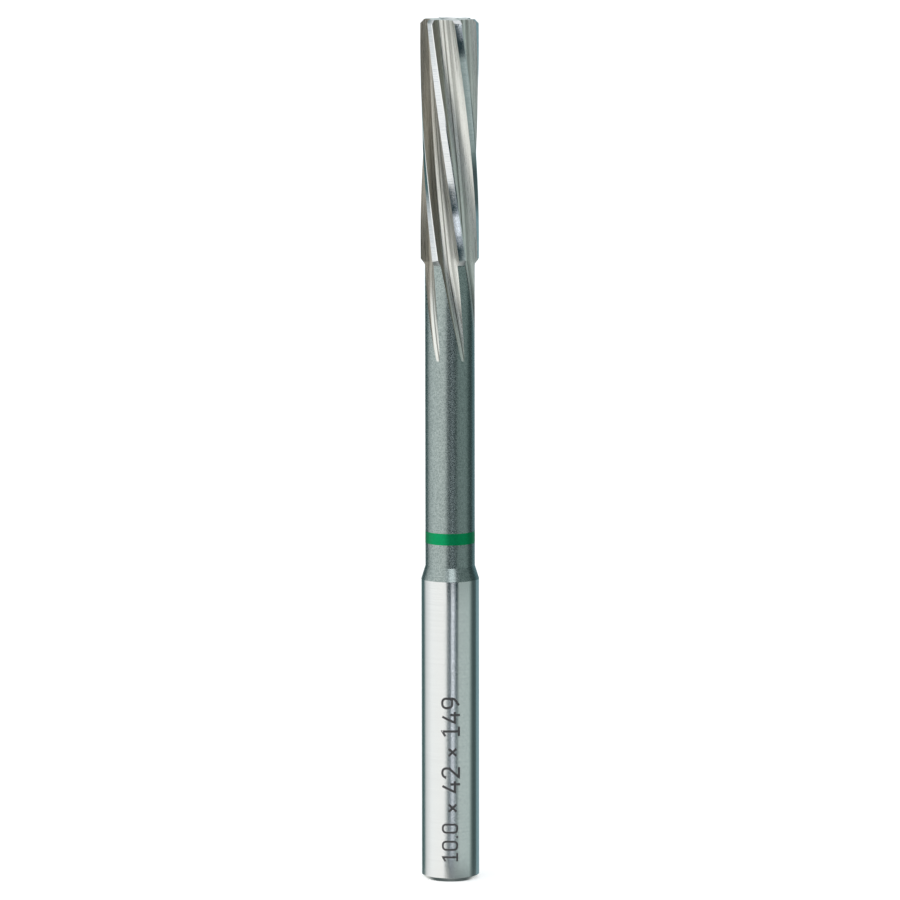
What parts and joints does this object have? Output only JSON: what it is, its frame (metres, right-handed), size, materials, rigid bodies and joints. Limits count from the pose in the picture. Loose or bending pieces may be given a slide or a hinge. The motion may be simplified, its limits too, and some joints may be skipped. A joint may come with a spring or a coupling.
{
  "type": "machine reamer",
  "caption": "One-piece machine reamer: bevelled cutting end with left-hand spiral flutes, reduced blasted neck with a green colour ring and a plain cylindrical shank.",
  "frame": {"origin": "middle of the flat end of the shank, on the tool's axis; the tool stands on this end", "axes": "+Z along the tool's axis from the shank to the cutting tip; -Y is the side that carries the size mark and +X is to its right"},
  "size_m": [0.01, 0.01, 0.149],
  "materials": {
    "tool_steel": "ground bright on lands, flutes and shank, fine-blasted matt grey on the neck and shoulder",
    "colour_ring": "thin satin green ring painted round the neck",
    "shank_mark": "dark laser mark on the shank, plain numbers only"
  },
  "bodies": {
    "root": {"reamer_body": "tool_steel"}
  },
  "joints": []
}
